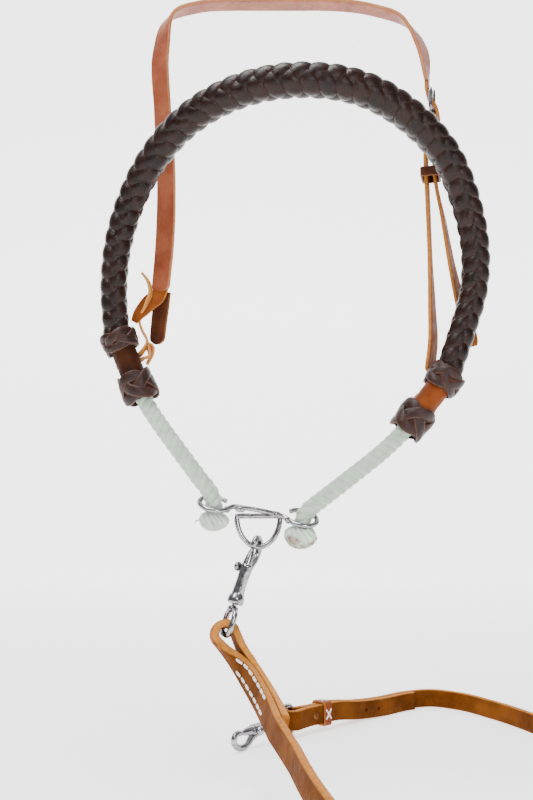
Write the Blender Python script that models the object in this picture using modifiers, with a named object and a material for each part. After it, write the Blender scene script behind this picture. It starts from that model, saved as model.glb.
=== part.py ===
"""Bitless hackamore: a headstall, a braided rope-core noseband, a wire curb hobble and a snapped-on rein.

Metres, +Z up, +X to the right seen from the front, +Y away from the front. The origin is on the underside
of the crown strap, where it rests on whatever holds the headstall up. The rein's far end lies on a floor at
FLOOR_Z.
"""

import math

import bmesh
import bpy
from mathutils import Matrix, Vector

# Driving dimensions
GAP = 0.0004                      # between touching pieces
FLOOR_Z = -0.597
CROWN_Y = -0.042                  # the crown strap's middle line, moved to the origin at the end

HEAD_WIDTH = 0.016                # headstall leather, 5/8 inch
HEAD_THICK = 0.003
BUCKLE = Vector((0.1160, -0.050, -0.0850))
BUCKLE_WIRE = 0.0014
TONGUE_WIRE = 0.0007
CROWN_END = -0.0700               # where the billet starts

REIN_WIDTH = 0.016                # rein leather, 5/8 inch
REIN_THICK = 0.0055

ROPE_RADIUS = 0.0062              # 1/2 inch three-strand rope
COVER_WALL = 0.0035
COVER_RADIUS_ENDS = 0.0105
COVER_RADIUS_TOP = 0.0128
SLEEVE_RADIUS = 0.0096
SLEEVE_BORE = 0.0073
KNOT_BORE = 0.0101
KNOT_RADIUS = 0.0135

BAR_WIRE = 0.0018                 # radii of the curb's wires
DEE_WIRE = 0.0020
DEE_HALF_WIDTH = 0.0162
DEE_DEPTH = 0.0228
EYE_RING = 0.0107                 # centre line radius of the rope eyes

SNAP_BARREL = 0.0046
SNAP_BORE = 0.0025
SNAP_WIRE = 0.0021
BOLT_RADIUS = 0.0020
ROD_CLEAR = 0.0064                # from the eye's rod to the rein's centre line round it
ROD_DROP = 0.0225                 # the eye's rod below the swivel

POST_RADIUS = 0.0022
SCREW_AT = 0.0225                 # along the rein from the far eye's rod
KEEPER_AT = 0.0360
KEEPER_LENGTH = 0.0085
KEEPER_WALL = 0.0016
SPARE_HOLE = 0.0015

COIL_RING = 0.088                 # radius at the middle of the rein coil's turns
COIL_CENTRE = Vector((0.150, -0.560, 0.0))

# Places, read along each piece's own centre line
NOSEBAND = [(-.1312, -.060, -.2680), (-.1330, -.062, -.2400), (-.1299, -.065, -.2046),
            (-.1204, -.070, -.1737),
            (-.1040, -.080, -.1450), (-.0760, -.094, -.1180), (-.0370, -.111, -.1020),
            (.0110, -.120, -.0968),
            (.0560, -.114, -.1015), (.0930, -.099, -.1170), (.1212, -.084, -.1415), (.1370, -.074, -.1740),
            (.1445, -.068, -.2080), (.1435, -.064, -.2400), (.1350, -.061, -.2700), (.1260, -.060, -.2965)]
KNOT_LEFT_UPPER = Vector((-.1280, -.060, -.2790))
KNOT_LEFT_LOWER = Vector((-.1137, -.060, -.3141))
KNOT_RIGHT_UPPER = Vector((.1203, -.060, -.3085))
KNOT_RIGHT_LOWER = Vector((.0961, -.060, -.3394))
EYE_LEFT = Vector((-.0545, -.069, -.4028))
EYE_RIGHT = Vector((.0110, -.069, -.4133))
DEE_TOP = Vector((-.0215, -.0672, -.4118))


def clear_scene():
    for obj in list(bpy.data.objects):
        bpy.data.objects.remove(obj, do_unlink=True)


def new_collection(name, hidden=False):
    group = bpy.data.collections.new(name)
    bpy.context.scene.collection.children.link(group)
    group.hide_render = hidden
    return group


clear_scene()
PARTS = new_collection("bitless_hackamore")
CUTTERS = new_collection("cutters", hidden=True)


def material(name, colour, roughness, metallic=0.0):
    mat = bpy.data.materials.new(name)
    mat.use_nodes = True
    shader = mat.node_tree.nodes["Principled BSDF"]
    shader.inputs["Base Color"].default_value = (*colour, 1)
    shader.inputs["Roughness"].default_value = roughness
    shader.inputs["Metallic"].default_value = metallic
    return mat


HEAD_LEATHER = material("head_leather", (.42, .15, .09), .5)
BRAID = material("braid", (.045, .022, .018), .45)
KNOT = material("knot", (.10, .035, .03), .5)
SLEEVE = material("sleeve", (.28, .08, .02), .5)
ROPE = material("rope", (.58, .62, .55), .8)
LACE = material("lace", (.55, .22, .06), .55)
FLAP = material("flap", (.06, .025, .015), .6)
REIN = material("rein", (.22, .05, .01), .4)
NICKEL = material("nickel", (.72, .71, .70), .2, 1.0)
STEEL = material("steel", (.5, .5, .5), .35, 1.0)
KEEPER = material("keeper", (.12, .03, .015), .5)
THREAD = material("thread", (.85, .85, .82), .8)


def add(name, data, mat, matrix=None):
    obj = bpy.data.objects.new(name, data)
    data.materials.append(mat)
    PARTS.objects.link(obj)
    if matrix is not None:
        obj.matrix_world = matrix
    return obj


def catmull(points, per_span):
    """A smooth curve through the points, with per_span steps between each two."""
    pts = [Vector(p) for p in points]
    pts = [2 * pts[0] - pts[1]] + pts + [2 * pts[-1] - pts[-2]]
    out = []
    for a, b, c, d in zip(pts, pts[1:], pts[2:], pts[3:]):
        for k in range(per_span):
            t = k / per_span
            out.append(.5 * (2 * b + (c - a) * t + (2 * a - 5 * b + 4 * c - d) * t * t
                             + (3 * b - a - 3 * c + d) * t ** 3))
    out.append(pts[-2].copy())
    return out


def length(points):
    return sum((b - a).length for a, b in zip(points, points[1:]))


def even(points, count):
    """The same polyline with count points at equal distances."""
    total = length(points)
    out = [points[0].copy()]
    walked = 0.0
    for a, b in zip(points, points[1:]):
        step = (b - a).length
        while len(out) < count - 1 and walked + step >= total * len(out) / (count - 1):
            t = (total * len(out) / (count - 1) - walked) / step
            out.append(a.lerp(b, t))
        walked += step
    out.append(points[-1].copy())
    return out


def wire(name, points, radius, mat, sides=2, cyclic=False, radii=None):
    """A round tube along a polyline."""
    curve = bpy.data.curves.new(name, "CURVE")
    curve.dimensions = "3D"
    curve.bevel_depth = radius
    curve.bevel_resolution = sides
    curve.use_fill_caps = not cyclic
    spline = curve.splines.new("POLY")
    spline.points.add(len(points) - 1)
    for i, p in enumerate(points):
        spline.points[i].co = (*p, 1)
        spline.points[i].radius = radii[i] / radius if radii else 1
    spline.use_cyclic_u = cyclic
    return add(name, curve, mat)


def as_mesh(obj, weld=1e-5):
    """The evaluated object as a mesh object of the same name, with its caps welded."""
    bpy.context.view_layer.update()
    evaluated = obj.evaluated_get(bpy.context.evaluated_depsgraph_get())
    mesh = bpy.data.meshes.new_from_object(evaluated)
    bm = bmesh.new()
    bm.from_mesh(mesh)
    bmesh.ops.remove_doubles(bm, verts=bm.verts, dist=weld)
    bmesh.ops.recalc_face_normals(bm, faces=bm.faces)
    bm.to_mesh(mesh)
    bm.free()
    name = obj.name
    matrix = obj.matrix_world.copy()
    bpy.data.objects.remove(obj, do_unlink=True)
    copy = bpy.data.objects.new(name, mesh)
    PARTS.objects.link(copy)
    copy.name = name
    copy.matrix_world = matrix
    return copy


def boolean(obj, other, operation):
    """Add or cut another object, which becomes a hidden guide."""
    for group in list(other.users_collection):
        group.objects.unlink(other)
    CUTTERS.objects.link(other)
    other.name = obj.name + "_" + operation.lower()
    other.hide_render = True
    other.display_type = "WIRE"
    mod = obj.modifiers.new(operation.lower(), "BOOLEAN")
    mod.operation = operation
    mod.object = other
    return obj


def turned(name, profile, mat, matrix=None, steps=20, closed=False):
    """A profile of (radius, height) points turned about Z; a closed one makes a ring."""
    mesh = bpy.data.meshes.new(name)
    bm = bmesh.new()
    verts = [bm.verts.new((r, 0, z)) for r, z in profile]
    for a, b in zip(verts, verts[1:]):
        bm.edges.new((a, b))
    if closed:
        bm.edges.new((verts[-1], verts[0]))
    bm.to_mesh(mesh)
    bm.free()
    obj = add(name, mesh, mat, matrix)
    mod = obj.modifiers.new("turn", "SCREW")
    mod.axis = "Z"
    mod.steps = steps
    mod.render_steps = steps
    mod.use_merge_vertices = True
    mod.merge_threshold = 1e-6
    return obj


def barrel_ring(name, mat, centre, axis, bore, radius, height, steps=20):
    """A fat ring with a round outside, such as a knot round a sleeve."""
    half = height / 2
    bulge = [(radius - (radius - bore - .0012) * (1 - math.cos(a)), half * math.sin(a))
             for a in (math.radians(d) for d in (80, 50, 20, -20, -50, -80))]
    profile = [(bore, half * .9)] + bulge + [(bore, -half * .9)]
    return turned(name, profile, mat, along(centre, axis), steps, closed=True)


def along(origin, z_axis, x_hint=(1, 0, 0)):
    """A frame at origin with Z along z_axis and X as near x_hint as it can be."""
    z = Vector(z_axis).normalized()
    x = Vector(x_hint)
    x = (x - z * x.dot(z)).normalized()
    y = z.cross(x)
    matrix = Matrix((x, y, z)).transposed().to_4x4()
    matrix.translation = origin
    return matrix


def ribbon(name, path, across, width, thick, mat):
    """A flat strap: a grid bent along the path, made solid. across holds one width direction per point."""
    count = len(path)
    bm = bmesh.new()
    bmesh.ops.create_grid(bm, x_segments=count - 1, y_segments=1, size=.5)
    bm.verts.ensure_lookup_table()
    for v in bm.verts:
        i = round((v.co.x + .5) * (count - 1))
        side = 1 if v.co.y > 0 else -1
        tangent = path[min(i + 1, count - 1)] - path[max(i - 1, 0)]
        w = Vector(across[i])
        w = (w - tangent * w.dot(tangent) / tangent.length_squared).normalized()
        v.co = path[i] + w * side * width / 2
    mesh = bpy.data.meshes.new(name)
    bm.to_mesh(mesh)
    bm.free()
    obj = add(name, mesh, mat)
    mod = obj.modifiers.new("thickness", "SOLIDIFY")
    mod.thickness = thick
    mod.offset = 0
    mod.use_even_offset = True
    return obj


def strap(name, stations, per_span, width, thick, mat):
    """A ribbon through stations of (x, y, z, width direction)."""
    path = catmull([s[:3] for s in stations], per_span)
    across = catmull([s[3] for s in stations], per_span)
    return ribbon(name, path, across, width, thick, mat)


# Headstall

def headstall():
    half_flat = .030
    crown = HEAD_THICK / 2
    left = math.radians(39)
    left_across = (math.cos(left), -math.sin(left), 0)
    stations = [(-.0985, -.050, -.2380, (.80, -.55, .1)), (-.0955, -.050, -.2000, (.85, -.50, 0)),
                (-.0950, -.050, -.1400, (.83, -.55, 0)), (-.0985, -.050, -.0890, left_across),
                (-.1000, -.049, -.0400, left_across), (-.0930, -.046, -.0110, (.5, -.85, .1)),
                (-.0700, -.043, -.0010, (.1, -1, 0))]
    stations += [(x, -.042, crown, (0, -1, 0))
                 for x in (-half_flat - .012, -half_flat, -.010, .010, half_flat)]
    stations += [(.0700, -.043, -.0035, (-.1, -1, 0)), (.0960, -.046, -.0150, (-.45, -.88, .1)),
                 (.1090, -.049, -.0380, (-.62, -.78, 0)),
                 (BUCKLE.x - .0033, -.050, CROWN_END, (-.25, -1, 0))]
    strap("crown_strap", stations, 3, HEAD_WIDTH, HEAD_THICK, HEAD_LEATHER)
    flap = [(-.0968, -.0475, -.2400, (.8, -.5, 0)), (-.0985, -.047, -.2520, (.85, -.5, 0)),
            (-.1000, -.047, -.2660, (.8, -.55, 0)), (-.1010, -.047, -.2790, (.8, -.6, 0))]
    strap("left_cheek_flap", flap, 3, HEAD_WIDTH * .95, .0024, FLAP)


def buckle():
    """The strap passes behind the frame's upper bar and over its lower bar, where the tongue turns."""
    frame = along(BUCKLE, (1, -.25, 0), (0, 0, 1))
    half_long = .0085
    half_wide = .0105
    corner = .0025
    outline = []
    for cx, cy, start in ((1, 1, 0), (-1, 1, 90), (-1, -1, 180), (1, -1, 270)):
        for d in (0, 45, 90):
            a = math.radians(start + d)
            outline.append(frame @ Vector((cx * (half_long - corner) + corner * math.cos(a),
                                           cy * (half_wide - corner) + corner * math.sin(a), 0)))
    wire("buckle_frame", outline, BUCKLE_WIRE, NICKEL, cyclic=True)
    hug = BUCKLE_WIRE + TONGUE_WIRE + GAP
    ring = [(-half_long + hug * math.cos(math.radians(d)), 0, hug * math.sin(math.radians(d)))
            for d in range(-100, -321, -30)]
    tongue = [frame @ Vector(p) for p in ring + [(-.0030, 0, .0024), (.0030, 0, .0025), (.0085, 0, hug),
                                                 (.0105, 0, hug - .0002)]]
    wire("buckle_tongue", tongue, TONGUE_WIRE, NICKEL)
    across = (-.25, -1, 0)
    x = BUCKLE.x
    tail = [(x - .0033, -.050, CROWN_END - GAP, across), (x - .0031, -.050, -.0770, across),
            (x + .0008, -.050, -.0850, across), (x + .0048, -.0505, -.0935, across),
            (x + .0036, -.0510, -.1050, across), (.1175, -.0516, -.1440, across),
            (.1245, -.0490, -.1823, (-.35, -1, 0)), (.1310, -.0460, -.2180, (-.5, -1, 0)),
            (.1390, -.0440, -.2520, (-.7, -.8, 0)), (.1475, -.0430, -.2800, (-.8, -.6, 0))]
    strap("billet_tail", tail, 3, HEAD_WIDTH, .0026, HEAD_LEATHER)
    billet = as_mesh(bpy.data.objects["billet_tail"])
    boolean(billet, as_mesh(wire("slit", tongue[5:], TONGUE_WIRE + .0017, NICKEL)), "DIFFERENCE")
    cheek = [(.1128, -.050, -.0972, across), (.1110, -.050, -.1277, across), (.1118, -.050, -.1627, across),
             (.1129, -.050, -.2094, across), (.1138, -.050, -.2500, (-.4, -.95, 0)),
             (.1140, -.050, -.2780, (-.5, -.9, 0)), (.1115, -.047, -.3010, (-.5, -.9, .2))]
    strap("right_cheek_strap", cheek, 3, HEAD_WIDTH, HEAD_THICK, HEAD_LEATHER)
    loop = along(Vector((.1143, -.0508, -.1440)), (.02, 0, -1), (1, -.25, 0))
    outline = [loop @ Vector(p) for p in ((.0066, .0100, 0), (-.0066, .0100, 0), (-.0066, -.0100, 0),
                                          (.0066, -.0100, 0))]
    wire("buckle_keeper", outline, .0012, KEEPER, cyclic=True)


def laces():
    """Thongs that tie the cheeks to the sleeves; each goes round the back of its sleeve."""
    axis_left = (KNOT_LEFT_LOWER - KNOT_LEFT_UPPER).normalized()
    ring = along(KNOT_LEFT_UPPER.lerp(KNOT_LEFT_LOWER, .5), axis_left, (1, 0, 0))
    turn = .0117
    start = [(-.1128, -.052, -.2235), (-.1081, -.052, -.2299), (-.1060, -.0535, -.2402),
             (-.1080, -.0550, -.2470),
             (-.1104, -.0560, -.2535), (-.1140, -.0555, -.2600), (-.1125, -.0530, -.2680),
             (-.1080, -.0525, -.2780)]
    there = [ring @ Vector((turn * math.cos(a), turn * math.sin(a), -.0050))
             for a in (math.radians(d) for d in range(340, 219, -20))]
    back = [ring @ Vector((turn * math.cos(a), turn * math.sin(a), -.0008))
            for a in (math.radians(d) for d in range(220, 341, 20))]
    tail = [(-.1062, -.0560, -.2900), (-.1072, -.0510, -.2800), (-.1050, -.0500, -.2810),
            (-.1040, -.0500, -.2860),
            (-.1060, -.0500, -.2910), (-.1085, -.0490, -.2950)]
    wire("left_lace", catmull(start + there + back + tail, 2), .0013, LACE)
    axis_right = (KNOT_RIGHT_LOWER - KNOT_RIGHT_UPPER).normalized()
    ring = along(KNOT_RIGHT_UPPER.lerp(KNOT_RIGHT_LOWER, .5), axis_right, (0, 1, 0))
    path = [ring @ Vector((turn * math.cos(a), turn * math.sin(a), .0005 * k - .0030))
            for k, a in enumerate(math.radians(d) for d in range(80, -61, -20))]
    tail = [ring @ Vector(p) for p in ((.0145, -.0105, .0035), (.0175, -.0060, .0100), (.0170, 0, .0150))]
    wire("right_lace", catmull(path + tail, 2), .0013, LACE)


# Noseband

def cover_radius(t):
    return COVER_RADIUS_ENDS + (COVER_RADIUS_TOP - COVER_RADIUS_ENDS) * math.sin(math.pi * t) ** 1.5


def noseband():
    path = even(catmull(NOSEBAND, 6), 44)
    last = len(path) - 1
    radii = [cover_radius(i / last) for i in range(last + 1)]
    tube = wire("noseband_cover", path, COVER_RADIUS_TOP, BRAID, sides=4, radii=radii)
    tube.data.use_fill_caps = False
    tube = as_mesh(tube)
    wall = tube.modifiers.new("wall", "SOLIDIFY")
    wall.thickness = COVER_WALL
    wall.offset = -1
    left = [(-.0548, -.069, -.4082), (-.0546, -.069, -.4030), (-.0570, -.0685, -.3955),
            (-.0660, -.067, -.3835),
            (-.0807, -.065, -.3640), (-.1068, -.0615, -.3270)]
    right = [(.0873, -.062, -.3494), (.0472, -.066, -.3835), (.0260, -.069, -.3995),
             (.0150, -.0695, -.4085),
             (.0116, -.0695, -.4135), (.0112, -.0695, -.4174)]
    route = left + [KNOT_LEFT_LOWER, KNOT_LEFT_LOWER.lerp(KNOT_LEFT_UPPER, .5), KNOT_LEFT_UPPER] + NOSEBAND
    route += [KNOT_RIGHT_UPPER, KNOT_RIGHT_UPPER.lerp(KNOT_RIGHT_LOWER, .5), KNOT_RIGHT_LOWER] + right
    wire("core_rope", even(catmull(route, 6), 80), ROPE_RADIUS, ROPE)
    sleeve("sleeve_left", KNOT_LEFT_UPPER, KNOT_LEFT_LOWER)
    sleeve("sleeve_right", KNOT_RIGHT_UPPER, KNOT_RIGHT_LOWER)
    for name, centre, axis, height in (
            ("knot_left_upper", KNOT_LEFT_UPPER, KNOT_LEFT_LOWER - KNOT_LEFT_UPPER, .0150),
            ("knot_left_lower", KNOT_LEFT_LOWER, KNOT_LEFT_LOWER - KNOT_LEFT_UPPER, .0220),
            ("knot_right_upper", KNOT_RIGHT_UPPER, KNOT_RIGHT_LOWER - KNOT_RIGHT_UPPER, .0180),
            ("knot_right_lower", KNOT_RIGHT_LOWER, KNOT_RIGHT_LOWER - KNOT_RIGHT_UPPER, .0240)):
        barrel_ring(name, KNOT, centre, axis, KNOT_BORE, KNOT_RADIUS, height)
    rope_end("rope_end_left", Vector((-.0550, -.069, -.4156)), .0106, .0066)
    rope_end("rope_end_right", Vector((.0100, -.0695, -.4274)), .0117, .0088)


def sleeve(name, upper, lower):
    axis = (lower - upper).normalized()
    length_ = (lower - upper).length
    start = .0045
    profile = [(SLEEVE_BORE, -start), (SLEEVE_BORE, length_ + start), (SLEEVE_RADIUS, length_ + start),
               (SLEEVE_RADIUS, -start)]
    turned(name, profile, SLEEVE, along(upper, axis), 20, closed=True)


def rope_end(name, centre, radius, half_height):
    bm = bmesh.new()
    bmesh.ops.create_uvsphere(bm, u_segments=16, v_segments=10, radius=1)
    bmesh.ops.scale(bm, vec=(radius, radius * .95, half_height), verts=bm.verts)
    mesh = bpy.data.meshes.new(name)
    bm.to_mesh(mesh)
    bm.free()
    mesh.shade_smooth()
    add(name, mesh, ROPE, Matrix.Translation(centre))


# Curb hobble

def eye_points(centre, tilt, start, stop, step=20):
    back = Vector((0, math.cos(math.radians(tilt)), math.sin(math.radians(tilt))))
    side = Vector((1, 0, -.15)).normalized()
    return [centre + EYE_RING * (side * 1.04 * math.cos(a) + back * math.sin(a))
            for a in (math.radians(d) for d in range(start, stop + 1, step))]


def hobble():
    left = eye_points(EYE_LEFT, 27, 40, 320)
    right = eye_points(EYE_RIGHT, 31, 220, 500)
    bar = [(-.0400, -.0705, -.4048), (-.0320, -.0705, -.4058), (-.0110, -.0705, -.4098),
           (-.0035, -.0710, -.4120)]
    path = [tuple(p) for p in left] + bar + [tuple(p) for p in right]
    wire("hobble_bar", path, BAR_WIRE, NICKEL)
    dee = [DEE_TOP + Vector((DEE_HALF_WIDTH * math.cos(a), -.0028 * math.sin(a), -DEE_DEPTH * math.sin(a)))
           for a in (math.radians(d) for d in range(0, 181, 12))]
    wire("hobble_dee", dee, DEE_WIRE, NICKEL, cyclic=True)


# Bolt snaps, modelled about Z with the swivel at the origin and the hook upward, bulging to -X

def snap_body(name, matrix):
    profile = [(0, .0300), (.0030, .0300), (.0040, .0290), (.0044, .0265), (.0042, .0180),
               (SNAP_BARREL, .0070),
               (.0056, .0050), (.0058, .0010), (.0052, 0), (0, 0)]
    body = as_mesh(turned(name, profile, NICKEL))
    hook = wire(name + "_hook", catmull([(-.0022, 0, .0255), (-.0055, 0, .0295), (-.0098, 0, .0345),
                                         (-.0115, 0, .0405), (-.0098, 0, .0468), (-.0052, 0, .0505),
                                         (-.0010, 0, .0495), (.0004, 0, .0462), (0, 0, .0430)], 3),
                SNAP_WIRE, NICKEL, sides=3)
    boolean(body, as_mesh(hook), "UNION")
    body = as_mesh(body)
    cavity = [(0, .0345), (SNAP_BORE, .0345), (SNAP_BORE, .0062), (0, .0062)]
    boolean(body, as_mesh(turned(name + "_bore", cavity, NICKEL, steps=14)), "DIFFERENCE")
    body = as_mesh(body)
    pocket = [(0, .0046), (.0036, .0046), (.0036, .0014), (.0022, .0014), (.0022, -.0010), (0, -.0010)]
    boolean(body, as_mesh(turned(name + "_pocket", pocket, NICKEL, steps=14)), "DIFFERENCE")
    body = as_mesh(body)
    bpy.ops.mesh.primitive_cube_add(size=1)
    slot = bpy.context.object
    for vert in slot.data.vertices:
        vert.co = Vector((vert.co.x * .0028, vert.co.y * .0080 - .0040, vert.co.z * .0110 + .0224))
    boolean(body, slot, "DIFFERENCE")
    body = as_mesh(body)
    body.data.materials.clear()
    body.data.materials.append(NICKEL)
    body.matrix_world = matrix
    return body


def snap_bolt(name, matrix):
    profile = [(0, .0426), (.0009, .0424), (.0016, .0416), (BOLT_RADIUS, .0400), (BOLT_RADIUS, .0170),
               (0, .0170)]
    bolt = as_mesh(turned(name, profile, NICKEL, steps=12))
    stem = wire(name + "_stem", [Vector((0, 0, .0262)), Vector((0, -.0070, .0262))], .0010, NICKEL)
    boolean(bolt, as_mesh(stem), "UNION")
    bolt = as_mesh(bolt)
    knob = [(0, .0022), (.0018, .0018), (.0030, .0006), (.0030, -.0008), (.0018, -.0020), (0, -.0022)]
    boolean(bolt, as_mesh(turned(name + "_knob", knob, NICKEL, Matrix.Translation((0, -.0083, .0266))
                                 @ Matrix.Rotation(math.radians(90), 4, "X"), steps=12)), "UNION")
    bolt = as_mesh(bolt)
    bolt.data.materials.clear()
    bolt.data.materials.append(NICKEL)
    bolt.matrix_world = matrix
    return bolt


def snap_spring(name, matrix):
    turns = 7
    low = .0068
    high = .0164
    steps = turns * 8
    points = [matrix @ Vector((.0018 * math.cos(math.tau * turns * i / steps),
                               .0018 * math.sin(math.tau * turns * i / steps),
                               low + (high - low) * i / steps)) for i in range(steps + 1)]
    wire(name, points, .0003, STEEL, sides=1)


def swivel_eye(name, matrix, across):
    """The rivet turns in the snap's base; the loop below it takes the rein, its rod along across."""
    z = matrix.to_3x3() @ Vector((0, 0, 1))
    local = along(matrix.translation, z, across)
    profile = [(0, .0040), (.0026, .0040), (.0032, .0034), (.0032, .0020), (.0018, .0019), (.0018, -.0015),
               (.0038, -.0022), (.0036, -.0050), (0, -.0060)]
    rivet = as_mesh(turned(name, profile, NICKEL, local, steps=14))
    half = .0112
    loop = [(-.0006, 0, -.0036), (-.0060, 0, -.0045), (-half + .0010, 0, -.0075), (-half, 0, -.0115),
            (-half, 0, -.0180), (-half + .0015, 0, -.0212), (-half + .0050, 0, -.0224), (0, 0, -ROD_DROP),
            (half - .0050, 0, -.0224), (half - .0015, 0, -.0212), (half, 0, -.0180), (half, 0, -.0115),
            (half - .0010, 0, -.0075), (.0060, 0, -.0045), (.0006, 0, -.0036)]
    ring = wire(name + "_loop", [local @ Vector(p) for p in loop], .0021, NICKEL, cyclic=True)
    boolean(rivet, as_mesh(ring), "UNION")
    rivet = as_mesh(rivet)
    rivet.data.materials.clear()
    rivet.data.materials.append(NICKEL)
    return local @ Vector((0, 0, -ROD_DROP))


NEAR_AXIS = Vector((.0197, .0066, .0605)).normalized()
FAR_AXIS = Vector((-.643, -.766, 0)).normalized()
FAR_AXIS_HEIGHT = 0.0138          # of the far snap's axis over the floor


def snap_frame(axis, bulge, grip_point, grip_local):
    """A frame whose Z is the snap's axis and -X its bulge, put so that grip_local lands on grip_point."""
    frame = along(Vector((0, 0, 0)), axis, -Vector(bulge))
    frame.translation = Vector(grip_point) - frame.to_3x3() @ Vector(grip_local)
    return frame


def snap(prefix, frame, across):
    snap_body(prefix + "_snap_body", frame)
    snap_bolt(prefix + "_snap_bolt", frame)
    snap_spring(prefix + "_snap_spring", frame)
    return swivel_eye(prefix + "_snap_eye", frame, across)


# Rein: one flat cord, its width mostly upright

def side_of(path, across, i):
    """The direction square to the strap's length and width at one point."""
    tangent = (path[min(i + 1, len(path) - 1)] - path[max(i - 1, 0)]).normalized()
    w = (across[i] - tangent * across[i].dot(tangent)).normalized()
    return w.cross(tangent)


def opening(distance, at_rod, reach):
    """Half the space between the two layers' centre lines, this far from the eye's rod."""
    closed = REIN_THICK / 2 + .0003
    return closed + (at_rod - closed) * max(0, 1 - distance / reach) ** 1.5


def turn_points(first, last, out, reach):
    """The half turn round a rod from the end of one layer to the start of the other."""
    middle = (first + last) / 2
    half = (first - last) / 2
    return [middle + half * math.cos(a) + out * reach * math.sin(a)
            for a in (math.radians(d) for d in range(18, 180, 18))]


def near_rein(rod):
    """The main layer from the loop's tip, the turn round the eye's rod and the stitched-back layer."""
    route = [rod, (-.0384, -.0835, -.5080), (-.0305, -.0920, -.5185), (-.0212, -.1150, -.5285),
             (-.0046, -.200, -.5420), (.0104, -.285, -.5510), (.0400, -.380, -.5630),
             (.0745, -.4950, -.5705)]
    widths = [(-.272, .962, -.017), (-.31, .92, -.17), (-.45, .75, -.45), (-.45, .40, -.80), (-.16, 0, -1),
              (-.08, 0, -1), (0, 0, -1), (0, 0, -1)]
    path = catmull(route, 6)
    across = catmull(widths, 6)
    layers = 21
    walked = [length(path[:i + 1]) for i in range(len(path))]
    offsets = [side_of(path, across, i) * opening(walked[i], .0076, .034) for i in range(len(path))]
    main = [p + o for p, o in zip(path, offsets)]
    back = [p - o for p, o in zip(path, offsets)]
    out = (path[0] - path[1]).normalized()
    turn = turn_points(main[0], back[0], out, .0076)
    loop = main[:layers][::-1] + turn + back[:layers]
    loop_across = across[:layers][::-1] + [across[0]] * len(turn) + across[:layers]
    ribbon("rein_near_loop", loop, loop_across, REIN_WIDTH, REIN_THICK, REIN)
    step = (main[layers] - main[layers - 1]).normalized() * GAP
    ribbon("rein_near_run", [main[layers - 1] + step] + main[layers:], across[layers - 1:], REIN_WIDTH,
           REIN_THICK,
           REIN)


def coil():
    inner = COIL_RING - .0140
    outer = COIL_RING + .0080
    top = REIN_WIDTH * 2 + .0040
    profile = [(inner, 0), (inner, top), (outer, top), (outer, 0)]
    centre = COIL_CENTRE + Vector((0, 0, FLOOR_Z))
    turned("rein_coil", profile, REIN, Matrix.Translation(centre), 40, closed=True)


def far_rein(rod):
    z = FLOOR_Z + REIN_WIDTH / 2 + .0002
    start = COIL_CENTRE.x + COIL_RING + .0080 + REIN_THICK / 2 + GAP
    up = Vector((0, 0, 1))
    run = catmull([(start, -.560, z), (start + .004, -.480, z), (start, -.330, z), (.238, -.180, z),
                   (.232, -.060, z), (.2105, .0500, z), (.1870, .1050, z), (.1640, .1400, z)], 7)
    ribbon("rein_far_run", run[:-1], [up] * (len(run) - 1), REIN_WIDTH, REIN_THICK, REIN)
    lead = Vector((.734, .679, 0)).normalized()
    path = catmull([(.1640, .1400, z), (.1420, .1520, z), (.1180, .1420, z), (.0880, .1160, z),
                    (.0640, .0940, z + .0020), rod + lead * .050, rod + lead * .025, rod], 5)
    path[0] += (path[1] - path[0]).normalized() * GAP
    last = len(path) - 1
    rest = [length(path[i:]) for i in range(len(path))]
    fold = 9
    offsets = [side_of(path, [up] * len(path), i) * opening(rest[i], ROD_CLEAR, .020) * min(1, i / fold)
               for i in range(len(path))]
    main = [p - o for p, o in zip(path, offsets)]
    back = [p + o for p, o in zip(path, offsets)][fold:]
    turn = turn_points(main[-1], back[-1], (path[-1] - path[-2]).normalized(), ROD_CLEAR)
    loop = main + turn + back[::-1]
    ribbon("rein_far_loop", loop, [up] * len(loop), REIN_WIDTH, REIN_THICK, REIN)
    far = as_mesh(bpy.data.objects["rein_far_loop"])
    side = Vector((lead.y, -lead.x, 0))
    post = along(rod + lead * SCREW_AT, side, up)
    through = [(0, .02), (POST_RADIUS + .0003, .02), (POST_RADIUS + .0003, -.02), (0, -.02)]
    boolean(far, as_mesh(turned("post_hole", through, REIN, post, 14)), "DIFFERENCE")
    far = as_mesh(far)
    spare = along(path[last - 17], side_of(path, [up] * len(path), last - 17), up)
    through = [(0, .02), (SPARE_HOLE, .02), (SPARE_HOLE, -.02), (0, -.02)]
    boolean(far, as_mesh(turned("spare_hole", through, REIN, spare, 14)), "DIFFERENCE")
    screw(post)
    keeper(along(rod + lead * KEEPER_AT, lead, up))


def screw(frame):
    """A post and cap through both layers: local +Z faces the front."""
    face = REIN_THICK + .0006
    post = [(0, face + .0012), (.0030, face + .0010), (.0042, face), (POST_RADIUS, face),
            (POST_RADIUS, -face + .001),
            (.0013, -face + .001), (.0013, face - .002), (0, face - .002)]
    turned("rein_screw_post", post, STEEL, frame, 14)
    cap = [(0, face - .0023), (.0010, face - .0023), (.0010, -face), (.0042, -face), (.0030, -face - .0010),
           (0, -face - .0012)]
    turned("rein_screw_cap", cap, STEEL, frame, 14)


def box(name, size, matrix, mat):
    bpy.ops.mesh.primitive_cube_add(size=1)
    obj = bpy.context.object
    for group in list(obj.users_collection):
        group.objects.unlink(obj)
    PARTS.objects.link(obj)
    obj.name = name
    obj.data.materials.append(mat)
    for vert in obj.data.vertices:
        vert.co = Vector(a * b for a, b in zip(vert.co, size))
    obj.matrix_world = matrix
    return obj


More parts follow.
